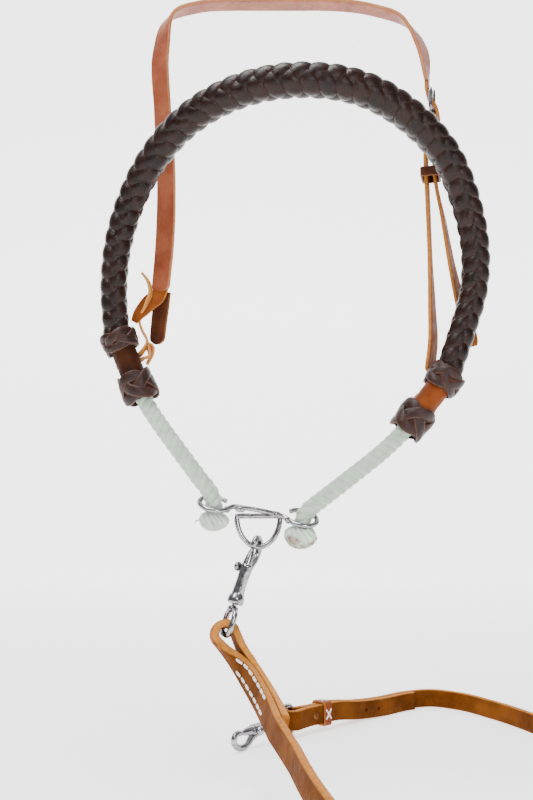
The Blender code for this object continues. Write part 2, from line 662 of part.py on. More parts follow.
def keeper(frame):
    """A leather band round the doubled rein, X up and Z along the rein, with a crossed stitch on top."""
    inner_x = REIN_WIDTH + .0012
    inner_y = REIN_THICK * 2 + .0018
    band = box("rein_keeper", (inner_x + KEEPER_WALL * 2, inner_y + KEEPER_WALL * 2, KEEPER_LENGTH),
               frame, KEEPER)
    boolean(band, box("keeper_inside", (inner_x, inner_y, .03), frame, KEEPER), "DIFFERENCE")
    top = inner_x / 2 + KEEPER_WALL + .0007 + GAP
    bars = []
    for sign in (1, -1):
        ends = [frame @ Vector((top, sign * .0030 * e, .0030 * e)) for e in (-1, 1)]
        bars.append(as_mesh(wire("keeper_thread" if sign > 0 else "keeper_thread_cross", ends, .0007,
                                 THREAD)))
    boolean(bars[0], bars[1], "UNION")


def build():
    headstall()
    buckle()
    laces()
    noseband()
    hobble()
    grip = DEE_TOP + Vector((-.0015, -.0028, -DEE_DEPTH))
    near = snap_frame(NEAR_AXIS, (.44, .90, 0), grip, (-.0056, 0, .0443))
    rod = snap("near", near, (-.35, .88, -.30))
    near_rein(rod)
    far = snap_frame(FAR_AXIS, (0, 0, -1), (.0060, .0400, FLOOR_Z + FAR_AXIS_HEIGHT), (0, 0, -ROD_DROP))
    far_rod = snap("far", far, (0, 0, 1))
    coil()
    far_rein(far_rod)
    for group in (PARTS, CUTTERS):
        for obj in group.objects:
            obj.matrix_world = Matrix.Translation((0, -CROWN_Y, 0)) @ obj.matrix_world


build()
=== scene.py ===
"""The finished look of the bitless hackamore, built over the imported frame."""

import math

import bmesh
import bpy
import numpy as np
from mathutils import Matrix, Vector


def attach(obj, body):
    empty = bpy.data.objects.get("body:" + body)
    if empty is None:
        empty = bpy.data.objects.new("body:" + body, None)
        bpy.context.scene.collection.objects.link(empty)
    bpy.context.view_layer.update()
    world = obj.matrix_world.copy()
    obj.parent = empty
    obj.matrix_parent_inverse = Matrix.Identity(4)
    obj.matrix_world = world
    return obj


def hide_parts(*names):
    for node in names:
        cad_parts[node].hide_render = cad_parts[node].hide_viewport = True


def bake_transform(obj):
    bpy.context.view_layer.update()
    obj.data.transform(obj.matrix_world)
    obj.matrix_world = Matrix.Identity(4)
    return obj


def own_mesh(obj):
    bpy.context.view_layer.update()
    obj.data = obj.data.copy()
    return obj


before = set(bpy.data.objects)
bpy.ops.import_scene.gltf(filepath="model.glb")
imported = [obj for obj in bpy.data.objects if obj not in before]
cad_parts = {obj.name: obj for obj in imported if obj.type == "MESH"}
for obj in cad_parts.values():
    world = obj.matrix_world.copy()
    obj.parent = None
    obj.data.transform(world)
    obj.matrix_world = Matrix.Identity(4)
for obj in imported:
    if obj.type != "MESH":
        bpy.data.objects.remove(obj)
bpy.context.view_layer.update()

BACK = 0.042                      # the places below have the crown's middle at y -BACK, and moved() adds it
FLOOR = -0.597


def moved(rows):
    """Rows of numbers whose first three are a place, put in the row frame."""
    rows = np.array(rows, float)
    rows[..., 1] += BACK
    return rows


def unit(v):
    v = np.asarray(v, float)
    return v / np.linalg.norm(v, axis=-1, keepdims=True)


# Camera

view = bpy.data.cameras.new("camera")
view.lens = 43.83
view.sensor_width = 36
camera = bpy.data.objects.new("camera", view)
camera.location = moved([-.0155, -.80, -.397])
camera.rotation_euler = (math.radians(95.63), 0, 0)
bpy.context.scene.collection.objects.link(camera)
bpy.context.scene.camera = camera


# Materials

class Nodes:
    """A material's node tree, with short calls for the nodes used here."""

    def __init__(self, name, roughness, metallic=0.0, **uniform):
        self.mat = bpy.data.materials.new(name)
        self.mat.use_nodes = True
        self.tree = self.mat.node_tree
        self.shader = self.tree.nodes["Principled BSDF"]
        self.shader.inputs["Roughness"].default_value = roughness
        self.shader.inputs["Metallic"].default_value = metallic
        for key, value in uniform.items():
            self.shader.inputs[key.replace("_", " ")].default_value = value

    def add(self, kind, inputs=None, **settings):
        node = self.tree.nodes.new("ShaderNode" + kind)
        for key, value in settings.items():
            setattr(node, key, value)
        for key, value in (inputs or {}).items():
            if isinstance(value, bpy.types.NodeSocket):
                self.tree.links.new(value, node.inputs[key])
            else:
                node.inputs[key].default_value = value
        return node

    def place(self):
        return self.add("TexCoord").outputs["Object"]

    def noise(self, scale, detail=4.0, vector=None, rough=.55):
        return self.add("TexNoise", {"Vector": vector or self.place(), "Scale": scale, "Detail": detail,
                                     "Roughness": rough}).outputs["Fac"]

    def value(self, name):
        return self.add("Attribute", attribute_name=name).outputs["Fac"]

    def calc(self, operation, a, b=0.0, c=0.0):
        return self.add("Math", {0: a, 1: b, 2: c}, operation=operation).outputs[0]

    def spread(self, value, low, high, to_low=0.0, to_high=1.0):
        return self.add("MapRange", {"Value": value, "From Min": low, "From Max": high, "To Min": to_low,
                                     "To Max": to_high}).outputs[0]

    def mix(self, factor, a, b):
        node = self.add("Mix", data_type="RGBA")
        for socket, value in ((node.inputs[0], factor), (node.inputs[6], a), (node.inputs[7], b)):
            if isinstance(value, bpy.types.NodeSocket):
                self.tree.links.new(value, socket)
            else:
                socket.default_value = (*value, 1) if isinstance(value, tuple) else value
        return node.outputs[2]

    def set(self, key, value):
        self.tree.links.new(value, self.shader.inputs[key])

    def bump(self, heights):
        """One bump after another: (height socket, distance in metres)."""
        normal = None
        for height, distance in heights:
            inputs = {"Height": height, "Distance": distance, "Strength": 1.0}
            if normal is not None:
                inputs["Normal"] = normal
            normal = self.add("Bump", inputs).outputs["Normal"]
        self.set("Normal", normal)


def leather(name, dark, light, edge, roughness=.42, grain=.00012, patch=45.0, coat=.02, shine=.12):
    """Harness leather: dark and light patches, a fine grain, and a paler cut edge where the mesh says so."""
    n = Nodes(name, roughness, Coat_Weight=coat, Coat_Roughness=.28, Specular_IOR_Level=shine)
    patches = n.spread(n.noise(patch, 5), .34, .66)
    colour = n.mix(patches, dark, light)
    pores = n.add("TexVoronoi", {"Vector": n.place(), "Scale": 1300.0}, feature="F1").outputs["Distance"]
    fine = n.noise(2600, 3)
    speck = n.spread(fine, .3, .7)
    colour = n.mix(n.calc("MULTIPLY", speck, .22), colour, tuple(c * .45 for c in dark))
    rim = n.calc("MULTIPLY", n.value("edge"), n.spread(n.noise(320, 4), .25, .6, .45, 1.0))
    colour = n.mix(rim, colour, edge)
    n.set("Base Color", colour)
    n.set("Roughness", n.spread(n.noise(160, 4), .3, .7, roughness - .1, roughness + .16))
    n.bump([(pores, grain), (fine, grain * .7), (n.noise(240, 4), .0004)])
    return n.mat


def metal(name, colour, roughness, dull):
    n = Nodes(name, roughness, 1.0, Specular_Tint=(.30, .30, .34, 1))
    stain = n.spread(n.noise(220, 6), .42, .72)
    n.set("Base Color", n.mix(stain, colour, dull))
    n.set("Roughness", n.spread(n.noise(420, 5), .3, .75, roughness, roughness + .22))
    scratch = n.add("Mapping", {"Vector": n.place(), "Scale": (300, 300, 2600)}).outputs[0]
    n.bump([(n.noise(1, 3, scratch), .00003), (n.noise(900, 3), .00004)])
    return n.mat


def rope_fibre(name, pale, dirt_and_groove_shade, burnt=0.0):
    """White laid rope: fine yarns across each strand with painted shade in the grooves between them, and a
    brown singe where the mesh says so.
    """
    n = Nodes(name, .62, Sheen_Weight=.25)
    uv = n.add("UVMap", uv_map="UVMap").outputs[0]
    parts = n.add("SeparateXYZ", {0: uv})
    lines = n.calc("ADD", n.calc("MULTIPLY", parts.outputs[1], 15), n.calc("MULTIPLY", parts.outputs[0],
                                                                           330))
    yarn = n.calc("ABSOLUTE", n.calc("SINE", n.calc("MULTIPLY", lines, math.pi)))
    dirt = n.spread(n.noise(130, 5), .42, .75)
    # Random dirt patches darken towards the same dark colour.
    colour = n.mix(n.calc("MULTIPLY", dirt, .45), pale, dirt_and_groove_shade)
    # Painted shade: the colour darkens towards the dark colour in the grooves between the yarns.
    colour = n.mix(n.spread(yarn, 0, .45, .4, 0), colour, dirt_and_groove_shade)
    brown = n.calc("MULTIPLY", n.value("singe"), n.spread(n.noise(300, 5), .3, .62, .1, 1.0))
    colour = n.mix(brown, colour, (.16, .05, .018))
    n.set("Base Color", colour)
    n.bump([(yarn, .00045), (n.noise(2400, 3), .00012), (n.noise(300, 4), .0003)])
    return n.mat


def thread(name, colour):
    n = Nodes(name, .7)
    uv = n.add("UVMap", uv_map="UVMap").outputs[0]
    parts = n.add("SeparateXYZ", {0: uv})
    lines = n.calc("ADD", n.calc("MULTIPLY", parts.outputs[1], 3), n.calc("MULTIPLY", parts.outputs[0],
                                                                          900))
    twist = n.calc("ABSOLUTE", n.calc("SINE", n.calc("MULTIPLY", lines, math.pi)))
    # Painted shade: the colour halves in the grooves of the thread's twist.
    n.set("Base Color", n.mix(n.spread(twist, 0, .5, .5, 0), colour, tuple(c * .5 for c in colour)))
    n.bump([(twist, .0002), (n.noise(3000, 2), .00005)])
    return n.mat


CROWN = leather("crown_leather", (.22, .046, .016), (.35, .098, .040), (.46, .18, .06), .42, coat=.03,
                shine=.3)
CHEEK = leather("cheek_leather", (.17, .037, .006), (.28, .078, .013), (.44, .165, .04), .5, coat=0.0,
                shine=.05)
# The hanging flap is the same leather as the strap, made darker here as painted shade.
FLAP_IN_PAINTED_SHADE = leather("flap_leather", (.060, .016, .006), (.115, .034, .012), (.22, .085, .025), .6, coat=0.0)
LACE = leather("lace_leather", (.46, .155, .028), (.62, .25, .060), (.62, .28, .08), .5, coat=0.0)
BRAID = leather("braid_leather", (.0070, .0022, .0015), (.0200, .0064, .0040), (.075, .029, .018), .30,
                .0001, 90.0, .03, .22)
KNOT = leather("knot_leather", (.0120, .0032, .0018), (.0360, .0096, .0052), (.105, .040, .022), .42,
               .0001, 80.0, .05, .3)
SLEEVE_DARK = leather("sleeve_dark", (.022, .0046, .0008), (.050, .0118, .002), (.13, .048, .012), .5,
                      coat=0.0)
SLEEVE_TAN = leather("sleeve_tan", (.14, .024, .002), (.24, .055, .0056), (.36, .13, .026), .46, coat=0.0)
# One rein leather in two copies: this one is darkened as painted shade, and the near fold's copy after it is
# lighter as painted light.
REIN = leather("rein_leather", (.085, .0225, .0030), (.18, .054, .0075), (.48, .185, .036), .65, .0001,
               38.0, 0.0, .03)
REIN_PAINTED_LIGHT = leather("rein_leather_painted_light", (.23, .060, .006), (.40, .122, .014), (.54, .22, .045), .6, .0001,
                   50.0, 0.0, .02)
BAND = leather("keeper_leather", (.17, .032, .004), (.29, .066, .009), (.46, .16, .04), .46, coat=0.0)
BAND_DARK = leather("buckle_keeper_leather", (.045, .011, .004), (.10, .028, .010), (.22, .085, .03), .46,
                    coat=.03)
NICKEL = metal("nickel", (.40, .39, .41), .09, (.16, .14, .13))
STEEL = metal("steel", (.52, .50, .47), .26, (.30, .26, .22))
BRASS = metal("dull_brass", (.20, .085, .032), .48, (.10, .045, .02))
# The second rope colour serves both the random dirt and the painted shade between the yarns.
ROPE = rope_fibre("rope_fibre", (.63, .75, .61), (.24, .30, .20))
THREAD = thread("thread", (.88, .86, .80))


# Mesh tools

def spline(rows, step=.003):
    """Rows whose first three numbers are a place, as one smooth line with a row every step metres."""
    rows = np.array(rows, float)
    gaps = np.linalg.norm(np.diff(rows[:, :3], axis=0), axis=1)
    slopes = np.gradient(rows, np.concatenate([[0], np.cumsum(gaps)]), axis=0)
    out = []
    for i, gap in enumerate(gaps):
        count = max(2, round(gap / step))
        u = (np.arange(count) / count)[:, None]
        out.append((2 * u**3 - 3 * u**2 + 1) * rows[i] + (u**3 - 2 * u**2 + u) * gap * slopes[i]
                   + (3 * u**2 - 2 * u**3) * rows[i + 1] + (u**3 - u**2) * gap * slopes[i + 1])
    return np.concatenate(out + [rows[-1:]])


def walked(path):
    return np.concatenate([[0], np.cumsum(np.linalg.norm(np.diff(path, axis=0), axis=1))])


def tangents(path, closed=False):
    if closed:
        return unit(np.roll(path, -1, axis=0) - np.roll(path, 1, axis=0))
    return unit(np.gradient(path, axis=0))


def square(across, along):
    """The across directions made square to the along ones."""
    return unit(across - along * (across * along).sum(axis=1, keepdims=True))


def carried(path, closed=False):
    """Across directions that don't twist along the path."""
    t = tangents(path, closed)
    first = np.cross(t[0], (0, 0, 1) if abs(t[0][2]) < .9 else (1, 0, 0))
    out = [unit(first)]
    for i in range(1, len(path)):
        step = out[-1] - t[i] * out[-1].dot(t[i])
        out.append(unit(step))
    return np.array(out)


def linked(name, data):
    """An object of this data, in the scene."""
    obj = bpy.data.objects.new(name, data)
    bpy.context.scene.collection.objects.link(obj)
    return obj


def finish_mesh(name, verts, faces, mat, slot, uvs=None, **values):
    mesh = bpy.data.meshes.new(name)
    mesh.from_pydata([tuple(v) for v in verts], [], faces)
    if uvs is not None:
        layer = mesh.uv_layers.new(name="UVMap")
        layer.data.foreach_set("uv", np.array(uvs, np.float32).ravel())
    for key, data in values.items():
        mesh.attributes.new(key, "FLOAT", "POINT").data.foreach_set("value", np.array(data, np.float32))
    mesh.validate()
    bm = bmesh.new()
    bm.from_mesh(mesh)
    bmesh.ops.recalc_face_normals(bm, faces=bm.faces)
    bm.to_mesh(mesh)
    bm.free()
    mesh.shade_smooth()
    mesh.materials.append(mat)
    obj = linked(name, mesh)
    return obj


def tube_faces(far, count, cap=True, round_to=None):
    """Faces and UVs of rings of points, at these Us; round_to is the U that closes it on the first ring."""
    rows = len(far)
    faces = []
    uvs = []
    for i in range(rows - 1 if round_to is None else rows):
        nxt = (i + 1) % rows
        u0 = far[i]
        u1 = far[nxt] if nxt else round_to
        for j in range(count):
            k = (j + 1) % count
            faces.append((i * count + j, i * count + k, nxt * count + k, nxt * count + j))
            v0 = j / count
            v1 = (j + 1) / count
            uvs += [(u0, v0), (u0, v1), (u1, v1), (u1, v0)]
    if cap and round_to is None:
        for i in (0, rows - 1):
            faces.append(tuple(i * count + j for j in range(count)))
            uvs += [(far[i], 0)] * count
    return faces, uvs


def sweep(name, path, across, profile, mat, slot, closed=False, scale=None):
    """A profile of (across, out, edge) points carried along a path, at one or two scales per point."""
    path = np.asarray(path, float)
    profile = np.asarray(profile, float)
    t = tangents(path, closed)
    w = square(np.asarray(across, float), t)
    out = np.cross(w, t)
    scale = np.ones((len(path), 2)) if scale is None else np.asarray(scale, float).reshape(len(path), -1)
    if scale.shape[1] == 1:
        scale = np.repeat(scale, 2, axis=1)
    verts = (path[:, None] + w[:, None] * (scale[:, :1] * profile[:, 0])[..., None]
             + out[:, None] * (scale[:, 1:] * profile[:, 1])[..., None]).reshape(-1, 3)
    far = walked(path)
    round_to = far[-1] + np.linalg.norm(path[0] - path[-1]) if closed else None
    faces, uvs = tube_faces(far, len(profile), round_to=round_to)
    return finish_mesh(name, verts, faces, mat, slot, uvs, edge=np.tile(profile[:, 2], len(path)))


def strap_profile(width, thick, bevel=.0006, crease=0.0, crown=0.0):
    """A strap's section: crowned faces, a crease inside each edge, rounded corners marked as cut edge."""
    w, h, b = width / 2, thick / 2, bevel
    top = []
    for f in np.linspace(-1, 1, 15):
        x = f * (w - b)
        dip = crease * math.exp(-((abs(x) - (w - .0021)) / .00035) ** 2)
        top.append((x, h + crown * (1 - f * f) - dip, 0.0))
    right = [(w - b * .35, h - b * .35, .6), (w, h - b, 1.0), (w, 0, 1.0), (w, -h + b, 1.0),
             (w - b * .35, -h + b * .35, .6)]
    half = top + right
    return half + [(-x, -y, e) for x, y, e in half]


def round_profile(radius, sides=20):
    return [(radius * math.cos(a), radius * math.sin(a), 0.0) for a in np.arange(sides) * math.tau / sides]


def band(name, matrix, outline, profile, mat, slot):
    """A closed strap round an outline in the matrix's XY plane, with its width along Z."""
    across = np.repeat([tuple(matrix.to_3x3() @ Vector((0, 0, 1)))], len(outline), 0)
    return sweep(name, through(matrix, outline), across, profile, mat, slot, closed=True)


def tapered(path, start=0.0, end=0.0, small=.35):
    """Widths that round off over the first and last few millimetres."""
    s = walked(path)
    out = np.ones(len(s))
    if start:
        f = np.clip(1 - s / start, 0, 1)
        out *= np.maximum(small, np.sqrt(1 - f**2 * (1 - small**2)))
    if end:
        f = np.clip(1 - (s[-1] - s) / end, 0, 1)
        out *= np.maximum(small, np.sqrt(1 - f**2 * (1 - small**2)))
    return np.stack([out, np.ones(len(s))], axis=1)


def strap(name, rows, width, thick, mat, slot, step=.0025, scale=None, **profile):
    """A strap through rows of x, y, z and a width direction."""
    line = spline(moved(rows), step)
    return sweep(name, line[:, :3], line[:, 3:6], strap_profile(width, thick, **profile), mat, slot,
                 scale=scale and tapered(line[:, :3], *scale))


def rod(name, path, radius, mat, slot, closed=False, sides=20, scale=None):
    path = np.asarray(path, float)
    return sweep(name, path, carried(path, closed), round_profile(radius, sides), mat, slot, closed, scale)


def lathe(name, profile, matrix, mat, slot, steps=48, cap=True):
    """A profile of (radius, height) points turned about Z."""
    profile = np.asarray(profile, float)
    angles = np.arange(steps) * math.tau / steps
    ring = np.stack([np.cos(angles), np.sin(angles)], axis=1)
    verts = [(*(ring[i] * r), z) for r, z in profile for i in range(steps)]
    faces, uvs = tube_faces(profile[:, 1], steps, cap)
    verts = [matrix @ Vector(v) for v in verts]
    return finish_mesh(name, verts, faces, mat, slot, uvs)


def smooth_profile(points, step=.0004):
    """A turned profile's points as a smooth curve."""
    rows = [(x, y, 0) for x, y in points]
    return [(abs(x), y) for x, y, _ in spline(rows, step)]


def along(origin, z_axis, x_hint=(1, 0, 0)):
    z = Vector(z_axis).normalized()
    x = Vector(x_hint)
    x = (x - z * x.dot(z)).normalized()
    matrix = Matrix((x, z.cross(x), z)).transposed().to_4x4()
    matrix.translation = origin
    return matrix


def through(matrix, points):
    return np.array([tuple(matrix @ Vector(p)) for p in points])


def joined(pieces, name):
    """Several pieces joined into the first one, which takes the name."""
    bpy.ops.object.select_all(action="DESELECT")
    for piece in pieces:
        piece.select_set(True)
    bpy.context.view_layer.objects.active = pieces[0]
    bpy.ops.object.join()
    pieces[0].name = name
    return pieces[0]


def cut(obj, cutter):
    """The object less the cutter, which is removed."""
    mod = obj.modifiers.new("cut", "BOOLEAN")
    mod.operation = "DIFFERENCE"
    mod.object = cutter
    bpy.context.view_layer.objects.active = obj
    bpy.ops.object.modifier_apply(modifier=mod.name)
    bpy.data.objects.remove(cutter)
    return obj


def box_cutter(size, matrix, bevel=0.0):
    mesh = bpy.data.meshes.new("slot")
    bm = bmesh.new()
    bmesh.ops.create_cube(bm, size=1)
    bmesh.ops.scale(bm, vec=size, verts=bm.verts)
    if bevel:
        bmesh.ops.bevel(bm, geom=bm.edges[:], offset=bevel, segments=3, affect="EDGES")
    bmesh.ops.transform(bm, matrix=matrix, verts=bm.verts)
    bm.to_mesh(mesh)
    bm.free()
    return linked("slot", mesh)


def rounded(x, y, radius, step, between=()):
    """A rectangle with round corners about (x, y), and points at these fractions of its sides."""
    rows = []
    for cx, cy, first in ((1, 1, 0), (-1, 1, 90), (-1, -1, 180), (1, -1, 270)):
        for a in map(math.radians, range(first, first + 91, step)):
            rows.append((cx * x + radius * math.cos(a), cy * y + radius * math.sin(a), 0))
        start = rows[-1]
        dx, dy = (-2 * x * cx, 0) if cx == cy else (0, -2 * y * cy)
        rows += [(start[0] + dx * f, start[1] + dy * f, 0) for f in between]
    return rows


# Snap frames, shared by the rein and the snaps

DEE_TOP = Vector((-.0215, -.0672 + BACK, -.4118))
DEE_DEPTH = .0228
DEE_HALF = .0162
NEAR_AXIS = Vector((.0197, .0066, .0605)).normalized()
FAR_AXIS = Vector((-.643, -.766, 0)).normalized()
ROD_DROP = .0225


def snap_frame(axis, bulge, grip_point, grip_local):
    matrix = along(Vector((0, 0, 0)), axis, -Vector(bulge))
    matrix.translation = Vector(grip_point) - matrix.to_3x3() @ Vector(grip_local)
    return matrix


NEAR = snap_frame(NEAR_AXIS, (.44, .90, 0), DEE_TOP + Vector((-.0015, -.0028, -DEE_DEPTH)),
                  (-.0056, 0, .0443))
FAR = snap_frame(FAR_AXIS, (0, 0, -1), (.0060, .0400 + BACK, FLOOR + .0138), (0, 0, -ROD_DROP))
NEAR_ROD = np.array(NEAR @ Vector((0, 0, -ROD_DROP)))
FAR_ROD = np.array(FAR @ Vector((0, 0, -ROD_DROP)))


# Rein: the cord comes before everything else

REIN_WIDTH = .016
REIN_THICK = .0055
LEAD = unit([.734, .679, 0])


def opening(distance, at_rod, until):
    """Half the space between the centre lines of the two layers at a distance from the eye's rod."""
    closed = REIN_THICK / 2 + .0003
    return closed + (at_rod - closed) * np.maximum(0, 1 - distance / until) ** 1.5


def half_turn(first, last, out, reach):
    middle = (first + last) / 2
    half = (first - last) / 2
    a = np.radians(np.arange(10, 180, 10))[:, None]
    return middle + half * np.cos(a) + out * reach * np.sin(a)


def rein_rows():
    """The rein's centre line from the near rod to the far rod, with its width direction."""
    z = FLOOR + REIN_WIDTH / 2 + .0002
    near = [(-.0384, -.0835, -.5080, -.31, .92, -.17), (-.0305, -.0920, -.5185, -.45, .75, -.45),
            (-.0212, -.1150, -.5285, -.45, .40, -.80), (-.0046, -.200, -.5420, -.16, 0, -1),
            (.0104, -.285, -.5510, -.08, 0, -1), (.0400, -.380, -.5630, 0, 0, -1),
            (.0745, -.4950, -.5705, 0, 0, -1), (.0745, -.5250, -.5725, 0, 0, -1),
            (.0755, -.5550, -.5790, 0, 0, -1), (.0778, -.5860, -.5868, 0, 0, -1)]
    rows = [[*(NEAR_ROD - (0, BACK, 0)), -.272, .962, -.017]] + near
    for degrees in range(218, 716, 15):
        out = .0780 + .0150 * min(1, (degrees - 200) / 440)
        out += .0061 * (3 * max(0, (degrees - 640) / 80) ** 2 - 2 * max(0, (degrees - 640) / 80) ** 3)
        a = math.radians(degrees)
        rows.append((.150 + out * math.cos(a), -.560 + out * math.sin(a), z, 0, 0, -1))
    for x, y in ((.24915, -.560), (.25315, -.480), (.24915, -.330), (.238, -.180), (.232, -.060),
                 (.2105, .0500), (.1870, .1050), (.1640, .1400), (.1420, .1520), (.1180, .1420),
                 (.0880, .1160)):
        rows.append((x, y, z, 0, 0, -1))
    rows.append((.0640, .0940, z + .0020, 0, 0, -1))
    for back in (.050, .025, 0):
        rows.append((*(FAR_ROD + LEAD * back - (0, BACK, 0)), 0, 0, -1))
    return spline(moved(rows), .0035)


line = rein_rows()
middle = line[:, :3]
rein_across = square(line[:, 3:6], tangents(middle))
reach = walked(middle)
total = reach[-1]
side = np.cross(rein_across, tangents(middle))
ROD_OPENING_NEAR = .0076          # from each rod to the strap's centre line round it
ROD_OPENING_FAR = .0064
NEAR_FOLD = .1265                 # how far each fold reaches back from its rod
FAR_FOLD = .1560
near_open = opening(reach, ROD_OPENING_NEAR, .034)
far_open = opening(total - reach, ROD_OPENING_FAR, .020)
shape = np.zeros(len(middle))
near_part = reach < NEAR_FOLD + .05
far_part = total - reach < FAR_FOLD + .05
shape[near_part] = near_open[near_part] * np.clip((NEAR_FOLD + .05 - reach[near_part]) / .05, 0, 1)
shape[far_part] = far_open[far_part] * np.clip((FAR_FOLD + .05 - (total - reach[far_part])) / .05, 0, 1)
main = middle + side * shape[:, None]
rein_profile = strap_profile(REIN_WIDTH, REIN_THICK, .0008, .00022, .0002)
rein = sweep("rein", main, rein_across, rein_profile, REIN, "rein")

keep = reach < NEAR_FOLD
back = (middle - side * near_open[:, None])[keep]
turn = half_turn(main[0], back[0], -tangents(middle)[0], ROD_OPENING_NEAR)
loop_path = np.concatenate([main[:3][::-1], turn, back])
loop_across = np.concatenate([rein_across[:3][::-1], np.repeat(rein_across[:1], len(turn), axis=0),
                              rein_across[keep]])
# The near fold takes the lighter copy of the rein leather, which is painted light.
near_fold = sweep("rein_near_fold", loop_path, loop_across, rein_profile, REIN_PAINTED_LIGHT, "rein")

keep = total - reach < FAR_FOLD
back = (middle - side * far_open[:, None])[keep]
turn = half_turn(back[-1], main[-1], tangents(middle)[-1], ROD_OPENING_FAR)
loop_path = np.concatenate([back, turn, main[-3:][::-1]])
loop_across = np.concatenate([rein_across[keep], np.repeat(rein_across[-1:], len(turn), axis=0),
                              rein_across[-3:]])
far_fold = sweep("rein_far_fold", loop_path, loop_across, rein_profile, REIN, "rein")


def at_reach(distance):
    """The place, along, width and side directions of the rein this far along."""
    def read(table):
        return np.array([np.interp(distance, reach, table[:, i]) for i in range(3)])
    return read(middle), unit(read(tangents(middle))), unit(read(rein_across)), unit(read(side))


def stitch_row(name, start, stop, across, face, pitch=.0098):
    """Stitches along the near fold: short sunk arcs on one of the rein's faces."""
    pieces = []
    s = start
    while s < stop:
        points = []
        for f in np.linspace(0, 1, 7):
            p, _, w, n = at_reach(s + pitch * .70 * f)
            gap = float(np.interp(s + pitch * .70 * f, reach, near_open))
            lift = gap + REIN_THICK / 2 + .0006 * math.sin(math.pi * f) - .0004
            points.append(p + w * across + n * face * lift)
        pieces.append(rod(name, spline(points, .0006), .0010, THREAD, "thread", sides=10))
        s += pitch
    return joined(pieces, name)


stitches = joined([stitch_row("stitch", .0250, .090, -.0062, 1), stitch_row("stitch", .0290, .094, .0030,
                                                                            1),
                   stitch_row("stitch", .0250, .090, -.0062, -1), stitch_row("stitch", .0290, .094, .0030,
                                                                             -1)],
                  "rein_stitches")

# A thong round the coil's turns
tie_angle = math.radians(315)
tie_at = np.array([.150, -.560 + BACK, 0]) + np.array([math.cos(tie_angle), math.sin(tie_angle), 0]) * .0870
tie_frame = along(Vector((tie_at[0], tie_at[1], FLOOR + .0096)),
                  (-math.sin(tie_angle), math.cos(tie_angle), 0),
                  (0, 0, 1))
tie_path = [(.0089 * math.cos(a), .0125 * math.sin(a), .0004 * math.sin(2 * a)) for a in
            np.radians(np.arange(0, 360, 10))]
coil_tie = band("coil_tie", tie_frame, tie_path, strap_profile(.0045, .0012, .0003), LACE, "lace")


# Far fittings on the rein

def screw(frame_at):
    face = REIN_THICK + .0006
    head = smooth_profile([(.0001, face + .0010), (.0016, face + .00095), (.0026, face + .0006),
                           (.0031, face), (.0030, face - .0004)])
    top = lathe("rein_screw_head", head, frame_at, BRASS, "steel", 32)
    cut(top, box_cutter((.0070, .0006, .0009), frame_at @ Matrix.Translation((0, 0, face + .0010))
                        @ Matrix.Rotation(.6, 4, "Z")))
    under = [(r, -z) for r, z in head]
    shank = lathe("rein_screw_shank", [(.0021, -face), (.0021, face)], frame_at, BRASS, "steel", 24)
    return joined([top, lathe("rein_screw_under", under, frame_at, BRASS, "steel", 32), shank],
                  "rein_screw")


screw_frame = along(Vector(FAR_ROD + LEAD * .0225), (LEAD[1], -LEAD[0], 0), (0, 0, 1))
rein_screw = screw(screw_frame)
keeper_frame = along(Vector(FAR_ROD + LEAD * .0360), tuple(LEAD), (0, 0, 1))
half_x, half_y, corner = REIN_WIDTH / 2 + .0014, REIN_THICK + .0017, .0018
outline = rounded(half_x - corner, half_y - corner, corner, 15)
keeper = band("rein_keeper_band", keeper_frame, outline, strap_profile(.0085, .0016, .0004, .0001), BAND,
              "rein_keeper")
cross = []
for sign in (1, -1):
    for face in (1, -1):
        ends = [(e * .0040, face * (half_y + .0009 + .0003 * (1 - e * e)), sign * e * .0030)
                for e in np.linspace(-1, 1, 9)]
        cross.append(rod("x", through(keeper_frame, ends), .0007, THREAD, "thread", sides=8))
    ends = [(half_x + .0010, sign * e * .0030, .0030 * e) for e in np.linspace(-1, 1, 9)]
    cross.append(rod("x", through(keeper_frame, ends), .0007, THREAD, "thread", sides=8))
keeper_stitch = joined(cross, "rein_keeper_stitch")

for distance in (total - .0880, total - .1050):
    p, t, w, n = at_reach(distance)
    hole_frame = along(Vector(p), tuple(n), tuple(t))
    for target in (rein, far_fold):
        cut(target, lathe("hole", [(.0016, -.02), (.0016, .02)], hole_frame, REIN, "rein", 20))


# Snaps

